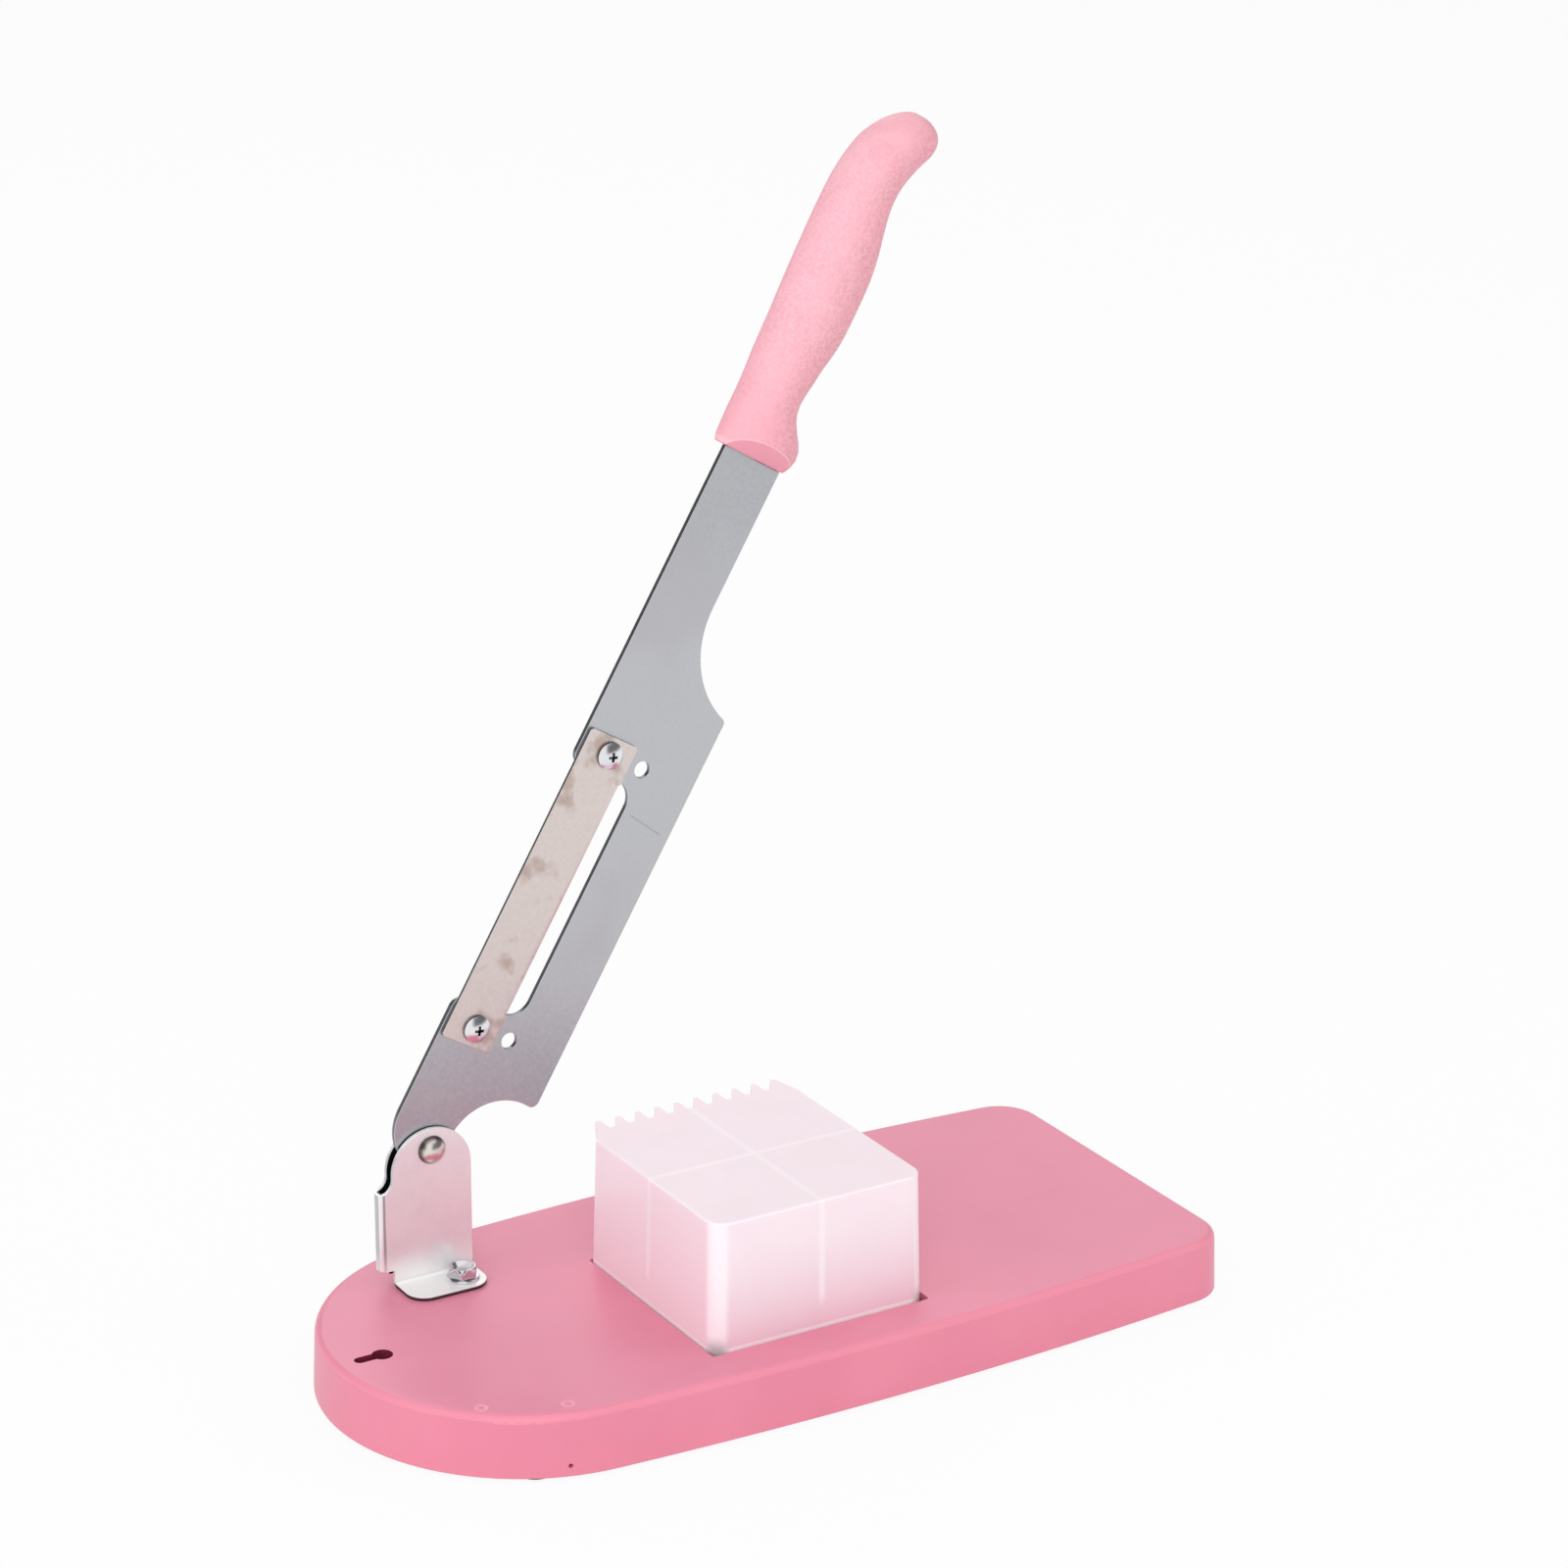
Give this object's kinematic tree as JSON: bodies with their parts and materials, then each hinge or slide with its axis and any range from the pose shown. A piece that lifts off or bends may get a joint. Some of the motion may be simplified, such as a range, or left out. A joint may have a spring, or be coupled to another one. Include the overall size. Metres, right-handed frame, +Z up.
{
  "type": "manual meat slicer",
  "caption": "Board with a hinged blade arm and grip over its rear side, a peeling strip on the arm and a loose toothed pusher box stored in a pocket.",
  "frame": {"origin": "middle of the board's outline, on the table under the rubber feet", "axes": "+X along the board from the round hinge end to the square end, +Y from the user to the blade arm's side, +Z up"},
  "size_m": [0.31, 0.148, 0.3982],
  "materials": {
    "board_plastic": "satin pink",
    "handle_plastic": "glossy pink",
    "pusher_plastic": "milky white, slightly see-through",
    "arm_steel": "fine ground",
    "strip_steel": "ground, a little stained",
    "zinc_sheet": "bright zinc plated",
    "zinc_fastener": "bright zinc plated",
    "screw_steel": "bright",
    "bright_rivet": "polished",
    "foot_rubber": "matt black",
    "nylon_washer": "plain"
  },
  "bodies": {
    "base": {"base_board": "board_plastic", "hinge_bracket": "zinc_sheet", "front_left_foot": "foot_rubber", "rear_left_foot": "foot_rubber", "front_right_foot": "foot_rubber", "rear_right_foot": "foot_rubber", "front_foot_bolt": "zinc_fastener", "front_foot_washer": "zinc_fastener", "front_foot_nut": "zinc_fastener", "rear_foot_bolt": "zinc_fastener", "rear_foot_washer": "zinc_fastener", "rear_foot_nut": "zinc_fastener", "pivot_rivet": "bright_rivet", "front_pivot_washer": "nylon_washer", "rear_pivot_washer": "nylon_washer"},
    "arm": {"blade_arm": "arm_steel", "handle": "handle_plastic", "peeler_blade": "strip_steel", "lower_peeler_screw": "screw_steel", "lower_peeler_nut": "screw_steel", "upper_peeler_screw": "screw_steel", "upper_peeler_nut": "screw_steel"},
    "pusher": {"pusher_box": "pusher_plastic"}
  },
  "joints": [
    {"name": "arm_pivot", "type": "hinge", "parent": "base", "child": "arm", "pos_m": [-0.0975, 0.0443, 0.0702], "axis": [0, -1, 0], "range_deg": [-64.2, 106]},
    {"name": "pusher_lift", "type": "slide", "parent": "base", "child": "pusher", "axis": [0, 0, 1], "range_m": [0, 0.06]}
  ]
}
